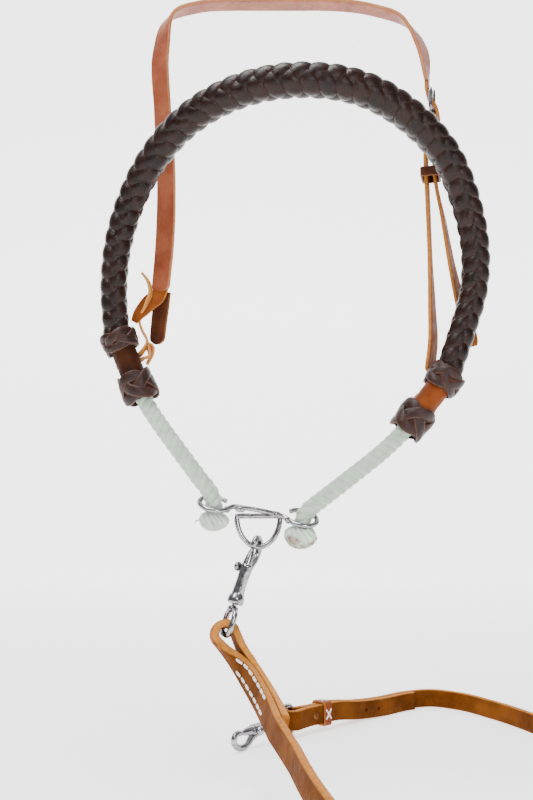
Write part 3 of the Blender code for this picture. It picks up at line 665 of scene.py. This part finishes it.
def snap(prefix, matrix, across, eye_body):
    """One bolt snap: shell with hook, plunger, spring and swivel eye, whose eye rides on eye_body."""
    barrel = smooth_profile([(.0026, .0302), (.0036, .0300), (.0042, .0290), (.0044, .0265), (.0042, .0180),
                             (.0044, .0110), (.0047, .0072), (.0057, .0052), (.0060, .0030), (.0058, .0010),
                             (.0052, .0002), (.0020, .0001)], .0006)
    inner = [(.0026, .0302), (.0026, .0070), (.0002, .0068)]
    body = lathe("barrel", inner[::-1] + barrel, matrix, NICKEL, "nickel", 44, cap=False)
    cut(body, box_cutter((.0026, .0090, .0108), matrix @ Matrix.Translation((0, -.0050, .0224)), .0010))
    hook = spline([(-.0030, 0, .0240), (-.0055, 0, .0295), (-.0098, 0, .0345), (-.0115, 0, .0405),
                   (-.0098, 0, .0468), (-.0052, 0, .0505), (-.0010, 0, .0495), (.0004, 0, .0462),
                   (0, 0, .0430)], .0008)
    s = walked(hook)
    fat = 1.15 + .40 * np.clip(1 - s / .014, 0, 1) - .12 * np.clip((s - s[-1] + .006) / .006, 0, 1)
    fat[-1] *= .55
    wide = sweep("hook", through(matrix, hook), carried(through(matrix, hook)), round_profile(.0021, 20),
                 NICKEL,
                 "nickel", scale=fat)
    body = joined([body, wide], prefix + "_snap_shell")
    bolt = lathe("bolt", smooth_profile([(.0001, .0426), (.0010, .0423), (.0016, .0416), (.0020, .0400),
                                         (.0020, .0180), (.0016, .0172)], .0005), matrix, NICKEL,
                 "nickel", 32)
    stem = lathe("stem", [(.0010, 0), (.0010, .0070)], matrix @ Matrix.Translation((0, 0, .0262))
                 @ Matrix.Rotation(math.radians(90), 4, "X"), NICKEL, "nickel", 20)
    knob = lathe("knob", smooth_profile([(.0001, .0026), (.0018, .0022), (.0030, .0013), (.0035, .0004),
                                         (.0035, -.0008), (.0028, -.0018), (.0015, -.0024)], .0003),
                 matrix @ Matrix.Translation((0, -.0070, .0266)) @ Matrix.Rotation(math.radians(90), 4,
                                                                                   "X"),
                 NICKEL, "nickel", 32)
    bolt = joined([bolt, stem, knob], prefix + "_snap_plunger")
    turns = 7
    a = np.linspace(0, math.tau * turns, turns * 16 + 1)
    coil = np.stack([.0018 * np.cos(a), .0018 * np.sin(a), .0068 + .0096 * a / a[-1]], axis=1)
    spring = rod(prefix + "_snap_coil", through(matrix, coil), .0003, STEEL, "steel", sides=8)
    local = along(matrix.translation, matrix.to_3x3() @ Vector((0, 0, 1)), across)
    rivet = lathe("rivet", smooth_profile([(.0001, .0005), (.0018, .0004), (.0018, -.0014), (.0036, -.0020),
                                           (.0039, -.0032), (.0037, -.0048), (.0024, -.0058),
                                           (.0003, -.0061)],
                                          .0004), local, NICKEL, "nickel", 36)
    half = .0112
    loop = [(0, 0, -.0038), (-.0060, 0, -.0045), (-half + .0012, 0, -.0072), (-half, 0, -.0115),
            (-half, 0, -.0180), (-half + .0015, 0, -.0212), (-half + .0050, 0, -.0224), (0, 0, -ROD_DROP)]
    loop = loop + [(-x, 0, z) for x, _, z in loop[-2:0:-1]] + [loop[0]]
    ring = through(local, spline(loop, .0009)[:-1])
    eye = joined([rivet, rod("eye", ring, .0021, NICKEL, "nickel", closed=True)], prefix + "_snap_swivel")
    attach(eye, eye_body)
    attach(body, prefix + "_snap")
    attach(spring, prefix + "_snap")
    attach(bolt, prefix + "_bolt")
    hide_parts(prefix + "_snap_body")
    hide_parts(prefix + "_snap_bolt")
    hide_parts(prefix + "_snap_spring")
    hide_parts(prefix + "_snap_eye")
    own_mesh(spring)
    return [body, bolt, spring, eye]


near_pieces = snap("near", NEAR, (-.35, .88, -.30), "noseband")
far_pieces = snap("far", FAR, (0, 0, 1), "far_eye")

# What the rein and its pieces stand for and ride on
for piece in (rein, near_fold, stitches):
    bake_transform(piece)
for piece in (far_fold, coil_tie, rein_screw):
    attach(piece, "root")
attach(keeper, "rein_keeper")
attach(keeper_stitch, "rein_keeper")
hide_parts("rein_near_run", "rein_coil", "rein_far_run")
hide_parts("rein_near_loop")
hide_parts("rein_far_loop")
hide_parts("rein_screw_post", "rein_screw_cap")
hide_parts("rein_keeper")
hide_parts("keeper_thread")


# Headstall

CROWN_MID = .0015
A39 = (math.cos(math.radians(39)), -math.sin(math.radians(39)), 0)
crown = strap("crown_leather_strap", [
    (-.0985, -.050, -.2380, .80, -.55, .1), (-.0955, -.050, -.2000, .85, -.50, 0),
    (-.0950, -.050, -.1400, .83, -.55, 0), (-.0985, -.050, -.0890, *A39), (-.1000, -.049, -.0400, *A39),
    (-.0930, -.046, -.0110, .5, -.85, .1), (-.0700, -.043, -.0010, .1, -1, 0),
    (-.042, -.042, CROWN_MID, 0, -1, 0), (-.030, -.042, CROWN_MID, 0, -1, 0),
                                      (-.010, -.042, CROWN_MID, 0, -1, 0),
    (.010, -.042, CROWN_MID, 0, -1, 0), (.030, -.042, CROWN_MID, 0, -1, 0),
    (.0700, -.043, -.0035, -.1, -1, 0), (.0960, -.046, -.0150, -.45, -.88, .1),
    (.1090, -.049, -.0380, -.62, -.78, 0), (.1127, -.050, -.0690, -.25, -1, 0)],
    .0172, .003, CROWN, "crown_leather", crease=.00018, bevel=.0007, scale=(.004, 0))
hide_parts("crown_strap")
# The flap's dark leather is painted shade on the strap's hanging end.
flap = strap("left_flap", [
    (-.0968, -.0475, -.2380, .8, -.5, 0), (-.0985, -.047, -.2520, .85, -.5, 0),
    (-.1000, -.047, -.2660, .8, -.55, 0), (-.1010, -.047, -.2790, .8, -.6, 0)],
    .0152, .0024, FLAP_IN_PAINTED_SHADE, "flap_leather", scale=(0, .005))
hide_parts("left_cheek_flap")
tail = strap("billet", [
    (.1127, -.050, -.0694, -.25, -1, 0), (.1129, -.050, -.0770, -.25, -1, 0),
                        (.1168, -.050, -.0850, -.25, -1, 0),
    (.1208, -.0505, -.0935, -.25, -1, 0), (.1196, -.0510, -.1050, -.25, -1, 0),
    (.1175, -.0516, -.1440, -.25, -1, 0), (.1245, -.0490, -.1823, -.35, -1, 0),
    (.1310, -.0460, -.2180, -.5, -1, 0), (.1390, -.0440, -.2520, -.7, -.8, 0),
                        (.1475, -.0430, -.2800, -.8, -.6, 0)],
    .016, .0026, CHEEK, "cheek_leather", crease=.00018, bevel=.0006, scale=(0, .014))
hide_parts("billet_tail")
cheek = strap("right_cheek", [
    (.1128, -.050, -.0972, -.25, -1, 0), (.1110, -.050, -.1277, -.25, -1, 0),
                              (.1118, -.050, -.1627, -.25, -1, 0),
    (.1129, -.050, -.2094, -.25, -1, 0), (.1138, -.050, -.2500, -.4, -.95, 0),
                              (.1140, -.050, -.2780, -.5, -.9, 0),
    (.1115, -.047, -.3010, -.5, -.9, .2)],
    .016, .003, CHEEK, "cheek_leather", crease=.00018, bevel=.0007, scale=(0, .003))
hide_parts("right_cheek_strap")

BUCKLE = along(Vector((.1160, -.050 + BACK, -.0850)), (1, -.25, 0), (0, 0, 1))
outline = rounded(.0060, .0080, .0025, 9, (.25, .5, .75))
buckle = rod("buckle", through(BUCKLE, outline), .0015, NICKEL, "nickel", closed=True, sides=24)
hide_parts("buckle_frame")
hug = .0014 + .0007 + .0004
ring = [(-.0085 + hug * math.cos(a), 0, hug * math.sin(a)) for a in np.radians(np.arange(-100, -321, -20))]
tongue = through(BUCKLE, spline(ring + [(-.0030, 0, .0024), (.0030, 0, .0025), (.0085, 0, hug),
                                        (.0105, 0, hug - .0002)], .0006))
tongue = rod("tongue", tongue, .0008, NICKEL, "nickel", sides=16)
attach(tongue, "buckle_tongue")
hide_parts("buckle_tongue")
LOOP = along(Vector((.1143, -.0508 + BACK, -.1440)), (.02, 0, -1), (1, -.25, 0))
corners = rounded(.0051, .0085, .0015, 18)
loop = band("keeper_loop", LOOP, corners, strap_profile(.0075, .0018, .0005, .0001), BAND_DARK, "keeper")
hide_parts("buckle_keeper")
for piece in (crown, flap, tail, cheek, buckle, loop):
    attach(piece, "root")

# Noseband

PITCH = .0248                     # one full turn of a braid strand, along the noseband
STRAND_INSET = .0017              # from the cover's outside to a strand's mean path
WEAVE_DEPTH = .00105              # how far a strand rises and dips over its neighbours

KNOTS = {"left_upper": Vector((-.1280, -.060 + BACK, -.2790)), "left_lower": Vector((-.1137, -.060 + BACK,
                                                                                     -.3141)),
         "right_upper": Vector((.1203, -.060 + BACK, -.3085)), "right_lower": Vector((.0961, -.060 + BACK,
                                                                                      -.3394))}
nose_path = spline(moved([
    (-.1312, -.060, -.2680), (-.1330, -.062, -.2400), (-.1299, -.065, -.2046), (-.1204, -.070, -.1737),
    (-.1040, -.080, -.1450), (-.0760, -.094, -.1180), (-.0370, -.111, -.1020), (.0110, -.120, -.0968),
    (.0560, -.114, -.1015), (.0930, -.099, -.1170), (.1212, -.084, -.1415), (.1370, -.074, -.1740),
    (.1445, -.068, -.2080), (.1435, -.064, -.2400), (.1350, -.061, -.2700), (.1260, -.060, -.2965)]), .001)
nose_walk = walked(nose_path)
nose_length = nose_walk[-1]
nose_t = tangents(nose_path)
# An out direction that faces the front, so the herringbone's spine does too
nose_out = square(np.repeat([(0., -1., 0.)], len(nose_path), 0), nose_t)
nose_side = np.cross(nose_t, nose_out)


def cover_radius(s):
    f = np.clip(s / nose_length, 0, 1)
    return .0105 + .0023 * np.sin(math.pi * f) ** 1.5


def on_tube(s, angle, radius):
    """A place round the noseband: distance along, angle from the front and radius."""
    kept = np.clip(s, 0, nose_length)
    where = np.stack([np.interp(s, nose_walk, nose_path[:, i]) for i in range(3)], axis=-1)
    where += (s - kept)[..., None] * np.where((s < 0)[..., None], nose_t[0], nose_t[-1])
    out = np.stack([np.interp(kept, nose_walk, nose_out[:, i]) for i in range(3)], axis=-1)
    turned = np.stack([np.interp(kept, nose_walk, nose_side[:, i]) for i in range(3)], axis=-1)
    return where + radius[..., None] * (out * np.cos(angle)[..., None] + turned * np.sin(angle)[..., None])


def braid_strand(name, hand, phase, pitch, width, thick, start, stop):
    """One flat strand of the four-strand braid, over one and under one."""
    steps = int((stop - start) / pitch * 44)
    s = np.linspace(start, stop, steps)
    angle = hand * math.tau * s / pitch + phase + math.pi / 4
    mean = cover_radius(s) - STRAND_INSET
    weave = hand * np.cos(2 * math.tau * s / pitch)
    slope = np.arctan2(math.tau * mean, pitch)
    section = [(f, (1 - f**2) * .5 + .5, 0.0 if abs(f) < .85 else .75) for f in np.linspace(-1, 1, 11)]
    under = [(-x, -.5, e) for x, _, e in section]
    section = np.array(section + under)
    u = section[:, 0] * width / 2
    ds = u[None] * np.sin(slope)[:, None]
    da = -hand * u[None] * (np.cos(slope) / mean)[:, None]
    lift = section[:, 1] * thick / 2
    tuck = .0012 * (np.abs(section[:, 0]) ** 2.5)
    radius = mean[:, None] + (WEAVE_DEPTH * weave)[:, None] + lift[None] - tuck[None]
    verts = on_tube(s[:, None] + ds, angle[:, None] + da, radius)
    faces, uvs = tube_faces(walked(verts[:, len(section) // 4]), len(section))
    return finish_mesh(name, verts.reshape(-1, 3), faces, BRAID, "braid", uvs,
                       edge=np.tile(section[:, 2], steps))


strands = [braid_strand("strand", hand, phase, PITCH, .0128, .0020, -.0075, nose_length + .0075)
           for hand in (1, -1) for phase in (0, math.pi)]
lining = sweep("lining", nose_path[::4], nose_out[::4], round_profile(1, 24), BRAID, "braid",
               scale=cover_radius(nose_walk[::4]) - .0036)
cover = joined(strands + [lining], "noseband_braid")
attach(cover, "noseband")
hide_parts("noseband_cover")


def turks_head(name, centre, axis, height, leads, bights, width, tilt):
    """A Turk's-head knot: one flat strand that goes round leads times, with bights at each end."""
    matrix = along(centre, axis, (0, -1, 0)) @ Matrix.Rotation(tilt, 4, "Z")
    radius = .0116
    t = np.linspace(0, math.tau, 700, endpoint=False)
    reach_z = height / 2 - width * .36
    wave = np.cos(bights * t)
    z = reach_z * np.sign(wave) * np.abs(wave) ** .9
    bulge = radius + .0013 * (1 - (z / (height / 2)) ** 2) + .0006 * np.sin(2 * bights * t)
    path = np.stack([bulge * np.cos(leads * t), bulge * np.sin(leads * t), z], axis=1)
    out = np.stack([np.cos(leads * t), np.sin(leads * t), np.zeros(len(t))], axis=1)
    tangent = tangents(path, True)
    across = np.cross(tangent, out)
    profile = [(x * width / 2, (.5 * (1 - x * x) + .35) * .0016, 0.0 if abs(x) < .8 else .9)
               for x in np.linspace(-1, 1, 9)]
    profile += [(-x, -.0006, e) for x, _, e in profile]
    turn = matrix.to_3x3()
    path = through(matrix, path)
    across = np.array([tuple(turn @ Vector(a)) for a in across])
    knot = sweep(name, path, across, profile, KNOT, "knot", closed=True)
    base = smooth_profile([(.0098, height * .47), (.0111, height * .41), (.0121, height * .2), (.0124, 0),
                           (.0121, -height * .2), (.0111, -height * .41), (.0098, -height * .47)], .001)
    return joined([knot, lathe("base", base, matrix, KNOT, "knot", 36, cap=False)], name)


for key, height, leads, bights, width, tilt in (("left_upper", .0150, 3, 4, .0064, .2),
                                                ("left_lower", .0218, 3, 4, .0080, .9),
                                                ("right_upper", .0176, 3, 4, .0070, .5),
                                                ("right_lower", .0232, 3, 4, .0084, .1)):
    other = key.split("_")[0]
    axis = KNOTS[other + "_lower"] - KNOTS[other + "_upper"]
    knot = turks_head("turks_head_" + key, KNOTS[key], axis, height, leads, bights, width, tilt)
    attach(knot, "noseband")
    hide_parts("knot_" + key)

for which, mat in (("left", SLEEVE_DARK), ("right", SLEEVE_TAN)):
    upper, lower = KNOTS[which + "_upper"], KNOTS[which + "_lower"]
    matrix = along(upper, lower - upper, (0, 1, 0))
    span = (lower - upper).length
    profile = [(.0073, -.0045), (.0094, -.0045)]
    profile += [(.0096 + .00012 * math.sin(k * 1.7) - .0002 * math.exp(-((k - 10) / 3) ** 2),
                 -.004 + (span + .008) * k / 20) for k in range(21)]
    profile += [(.0094, span + .0045), (.0073, span + .0045)]
    sleeve = lathe("sleeve_" + which + "_leather", profile, matrix, mat, "sleeve", 48, cap=False)
    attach(sleeve, "noseband")
    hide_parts("sleeve_" + which)


# Rope

ROPE_LAY = .0185                  # one full turn of a strand, along the rope
STRAND_OUT = .00325               # from the rope's middle to a strand's
ROPE_STRAND = .00335              # a strand's radius

def rope(name, rows, phase):
    """Three strands laid right-handed along a path that starts at the melted end."""
    path = spline(moved(rows), .0012)
    s = walked(path)
    t = tangents(path)
    a = carried(path)
    b = np.cross(t, a)
    strands = []
    for k in range(3):
        angle = math.tau * s / ROPE_LAY + phase + k * math.tau / 3
        out = a * np.cos(angle)[:, None] + b * np.sin(angle)[:, None]
        helix = path + STRAND_OUT * out
        strands.append(sweep("strand", helix, out, round_profile(ROPE_STRAND, 20), ROPE, "rope"))
    return joined(strands, name)


ROPE_LEFT = [(-.0548, -.069, -.4125), (-.0546, -.069, -.4030), (-.0570, -.0685, -.3955),
             (-.0660, -.067, -.3835),
             (-.0807, -.065, -.3640), (-.1068, -.0615, -.3270), (-.1137, -.060, -.3141),
             (-.12085, -.060, -.29655)]
ROPE_RIGHT = [(.0110, -.0695, -.4240), (.0112, -.0695, -.4174), (.0116, -.0695, -.4135),
              (.0150, -.0695, -.4085),
              (.0260, -.069, -.3995), (.0472, -.066, -.3835), (.0873, -.062, -.3494),
              (.0961, -.060, -.3394),
              (.1082, -.060, -.32395)]
rope_left = rope("rope_left", ROPE_LEFT, .4)
rope_right = rope("rope_right", ROPE_RIGHT, 1.2)
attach(rope_left, "noseband")
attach(rope_right, "noseband")
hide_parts("core_rope")
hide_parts("core_rope")


def melted_end(name, centre, radius, half_height, burnt, seed):
    """A melted rope end: a lobed blob with a ragged, singed lower edge."""
    bm = bmesh.new()
    bmesh.ops.create_icosphere(bm, subdivisions=5, radius=1)
    burn = []
    for v in bm.verts:
        d = v.co.normalized()
        a = math.atan2(d.y, d.x)
        lobes = 1 + .075 * math.cos(3 * a + d.z * 1.6 + seed) * (1 - d.z * d.z)
        ragged = .045 * math.sin(9 * a + seed) * math.sin(5 * d.z + seed) + .025 * math.sin(17 * a + 11 * d.z)
        flat = 1 - .12 * max(0, d.z) ** 2
        v.co = Vector((d.x * radius * (lobes + ragged), d.y * radius * .95 * (lobes + ragged),
                       d.z * half_height * (flat + ragged * .6)))
        burn.append(burnt * max(0, min(1, (-d.z - .05 + .35 * math.sin(3 * a + seed)) * 2.4)))
    mesh = bpy.data.meshes.new(name)
    bm.to_mesh(mesh)
    bm.free()
    mesh.transform(Matrix.Translation(centre))
    mesh.attributes.new("singe", "FLOAT", "POINT").data.foreach_set("value", np.array(burn, np.float32))
    layer = mesh.uv_layers.new(name="UVMap")
    uvs = []
    for corner_of in mesh.loops:
        co = mesh.vertices[corner_of.vertex_index].co - centre
        uvs.append((co.z * .5, (math.atan2(co.y, co.x) / math.tau)))
    layer.data.foreach_set("uv", np.array(uvs, np.float32).ravel())
    mesh.shade_smooth()
    mesh.materials.append(ROPE)
    obj = linked(name, mesh)
    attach(obj, "noseband")
    return obj


left_end = melted_end("rope_melt_left", Vector((-.0550, -.069 + BACK, -.4152)), .0108, .0078, .35, .7)
right_end = melted_end("rope_melt_right", Vector((.0100, -.0695 + BACK, -.4266)), .0117, .0096, 1.0, 2.1)
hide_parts("rope_end_left")
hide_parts("rope_end_right")
fray = []
for k in range(9):
    a = k * 2.4
    first = Vector((-.0640 + .0012 * math.cos(a), -.069 + BACK + .0012 * math.sin(a), -.4150))
    ends = [first, first + Vector((-.0022, .0004 * math.sin(a), .0002)),
            first + Vector((-.0038 + .0005 * math.cos(a * 2), .0012 * math.sin(a * 3),
                            -.0008 + .0008 * math.cos(a)))]
    fray.append(rod("fibre", spline([tuple(p) for p in ends], .0005), .00035, ROPE, "rope", sides=6))
fray = joined(fray, "rope_fray")
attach(fray, "noseband")


# Curb hobble

def eye(centre, tilt, start, stop):
    backward = np.array([0, math.cos(math.radians(tilt)), math.sin(math.radians(tilt))])
    sideways = unit([1, 0, -.15])
    return [np.array(centre) + .0107 * (sideways * 1.04 * math.cos(a) + backward * math.sin(a))
            for a in np.radians(np.arange(start, stop + 1, 10))]


eye_left = eye((-.0545, -.069, -.4028), 27, 40, 320)
eye_right = eye((.0110, -.069, -.4133), 31, 220, 500)
bar = [(-.0400, -.0705, -.4048), (-.0320, -.0705, -.4058), (-.0110, -.0705, -.4098),
       (-.0035, -.0710, -.4120)]
bar_path = spline(moved([tuple(p) for p in eye_left] + bar + [tuple(p) for p in eye_right]), .0008)
hobble = rod("curb_bar", bar_path, .0018, NICKEL, "nickel")
a = np.radians(np.arange(0, 181, 6))
dee_path = np.array(DEE_TOP) + np.stack([DEE_HALF * np.cos(a), -.0028 * np.sin(a),
                                         -DEE_DEPTH * np.sin(a)], axis=1)
straight = np.array(DEE_TOP) + np.stack([np.linspace(-DEE_HALF, DEE_HALF, 14)[1:-1], np.zeros(12),
                                         np.zeros(12)], 1)
dee = rod("curb_dee", np.concatenate([dee_path, straight]), .0020, NICKEL, "nickel", closed=True)


def bead(name, centre, axis, size, seed):
    """A lump of weld where two wires meet."""
    matrix = along(Vector(centre), axis)
    profile = smooth_profile([(.0001, -size[1]), (size[0] * .6, -size[1] * .85), (size[0], -size[1] * .25),
                              (size[0] * .94, size[1] * .3), (size[0] * .62, size[1] * .85),
                              (.0001, size[1])], .0003)
    piece = lathe(name, profile, matrix, NICKEL, "nickel", 24)
    for v in piece.data.vertices:
        v.co += (v.co - Vector(centre)) * .10 * math.sin(v.co.x * 2400 + seed) * math.sin(v.co.z * 2100 + seed)
    return piece


beads = [bead("weld", (-.0352, -.0700 + BACK, -.4064), (1, 0, -.2), (.0027, .0042), .3),
         bead("weld", (-.0085, -.0700 + BACK, -.4110), (1, 0, -.2), (.0028, .0042), 1.7),
         bead("weld", (-.0450, -.0720 + BACK, -.4070), (.3, -.5, -.2), (.0024, .0030), 2.2),
         bead("weld", (.0005, -.0735 + BACK, -.4150), (.3, .5, -.2), (.0024, .0030), 2.9)]
curb = joined([hobble, dee] + beads, "curb_hobble")
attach(curb, "noseband")
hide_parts("hobble_bar", "hobble_dee")


# Laces

def lace(name, points, phase=0.0):
    path = spline(points, .0014)
    base = carried(path)
    t = tangents(path)
    s = walked(path)
    twist = np.radians(24 * np.sin(s * 90 + phase))
    across = base * np.cos(twist)[:, None] + np.cross(t, base) * np.sin(twist)[:, None]
    piece = sweep(name, path, across, strap_profile(.0042, .0021, .0005), LACE, "lace")
    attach(piece, "noseband")
    return piece


axis = KNOTS["left_lower"] - KNOTS["left_upper"]
ring_frame = along(KNOTS["left_upper"].lerp(KNOTS["left_lower"], .5), axis, (1, 0, 0))
curl = moved([(-.1128, -.052, -.2235), (-.1081, -.052, -.2299), (-.1060, -.0535, -.2402),
              (-.1080, -.0550, -.2470), (-.1104, -.0560, -.2535), (-.1140, -.0555, -.2600),
              (-.1125, -.0530, -.2680), (-.1080, -.0525, -.2780)])
there = through(ring_frame, [(.0117 * math.cos(a), .0117 * math.sin(a), -.0050)
                             for a in np.radians(np.arange(340, 219, -20))])
again = through(ring_frame, [(.0117 * math.cos(a), .0117 * math.sin(a), -.0008)
                             for a in np.radians(np.arange(220, 341, 20))])
end_points = moved([(-.1062, -.0560, -.2900), (-.1072, -.0510, -.2800), (-.1050, -.0500, -.2810),
                    (-.1040, -.0500, -.2860), (-.1060, -.0500, -.2910), (-.1085, -.0490, -.2950)])
left_lace = lace("lace_left", np.concatenate([curl, there, again, end_points]))
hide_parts("left_lace")
axis = KNOTS["right_lower"] - KNOTS["right_upper"]
ring_frame = along(KNOTS["right_upper"].lerp(KNOTS["right_lower"], .5), axis, (0, 1, 0))
ring_points = through(ring_frame, [(.0112 * math.cos(a), .0112 * math.sin(a), .0005 * k - .0030)
                                   for k, a in enumerate(np.radians(np.arange(50, -41, -15)))])
end_points = through(ring_frame, [(.0130, -.0080, .0035), (.0160, -.0045, .0100), (.0165, 0, .0150)])
right_lace = lace("lace_right", np.concatenate([ring_points, end_points]), 1.4)
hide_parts("right_lace")
cheek_tie = strap("cheek_tie", [
    (-.0980, -.0500, -.2280, .80, -.55, .1), (-.0985, -.0500, -.2370, .75, -.45, -.40),
    (-.1015, -.0505, -.2425, .50, -.30, -.80), (-.1060, -.0525, -.2465, .55, -.20, -.80),
    (-.1104, -.0545, -.2520, .68, -.20, -.70), (-.1145, -.0575, -.2580, .70, -.20, -.68),
    (-.1177, -.0575, -.2634, .70, -.20, -.68)],
    .0135, .0024, CHEEK, "lace", scale=(0, .030))
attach(cheek_tie, "root")


# Floor, backdrop and light

def stage_mesh():
    profile = [(-3.0, FLOOR), (1.6, FLOOR)]
    profile += [(1.6 + .8 * math.sin(a), FLOOR + .8 - .8 * math.cos(a)) for a in np.radians(np.arange(10,
                                                                                                      91,
                                                                                                      10))]
    profile.append((2.4, 3.2))
    verts = [(x, y, z - .0001) for y, z in profile for x in (-4, 4)]
    faces = [(2 * i, 2 * i + 1, 2 * i + 3, 2 * i + 2) for i in range(len(profile) - 1)]
    mesh = bpy.data.meshes.new("floor")
    mesh.from_pydata(verts, [], faces)
    mesh.shade_smooth()
    n = Nodes("floor_paint", .8, Emission_Color=(1, 1, 1, 1))
    depth = n.add("SeparateXYZ", {0: n.place()}).outputs[1]
    n.set("Emission Strength", n.spread(depth, .2, 2.2, 1.2, 2.7))
    n.set("Base Color", n.mix(n.noise(6, 2), (.80, .80, .80), (.83, .83, .83)))
    mesh.materials.append(n.mat)
    obj = linked("floor", mesh)


stage_mesh()


def area(name, place, aim, size, power):
    data = bpy.data.lights.new(name, "AREA")
    data.size = size
    data.energy = power
    obj = linked(name, data)
    obj.location = place
    obj.rotation_euler = (Vector(aim) - Vector(place)).to_track_quat("-Z", "Y").to_euler()


area("key", (-1.0, -1.2, 1.3), (0, 0, -.3), .7, 24)
area("fill", (.5, -1.5, .1), (0, 0, -.40), .35, 9)
area("top", (-.25, -.25, 1.3), (0, 0, -.3), .8, 34)
world = bpy.data.worlds.new("world")
world.use_nodes = True
tree = world.node_tree
height = tree.nodes.new("ShaderNodeTexCoord").outputs["Generated"]
parts = tree.nodes.new("ShaderNodeSeparateXYZ")
ramp = tree.nodes.new("ShaderNodeMapRange")
tree.links.new(height, parts.inputs[0])
tree.links.new(parts.outputs[2], ramp.inputs["Value"])
ramp.inputs["From Min"].default_value = -.1
ramp.inputs["To Min"].default_value = .08
ramp.inputs["To Max"].default_value = .65
tree.links.new(ramp.outputs[0], tree.nodes["Background"].inputs[1])
tree.nodes["Background"].inputs[0].default_value = (.95, .97, 1, 1)
bpy.context.scene.world = world
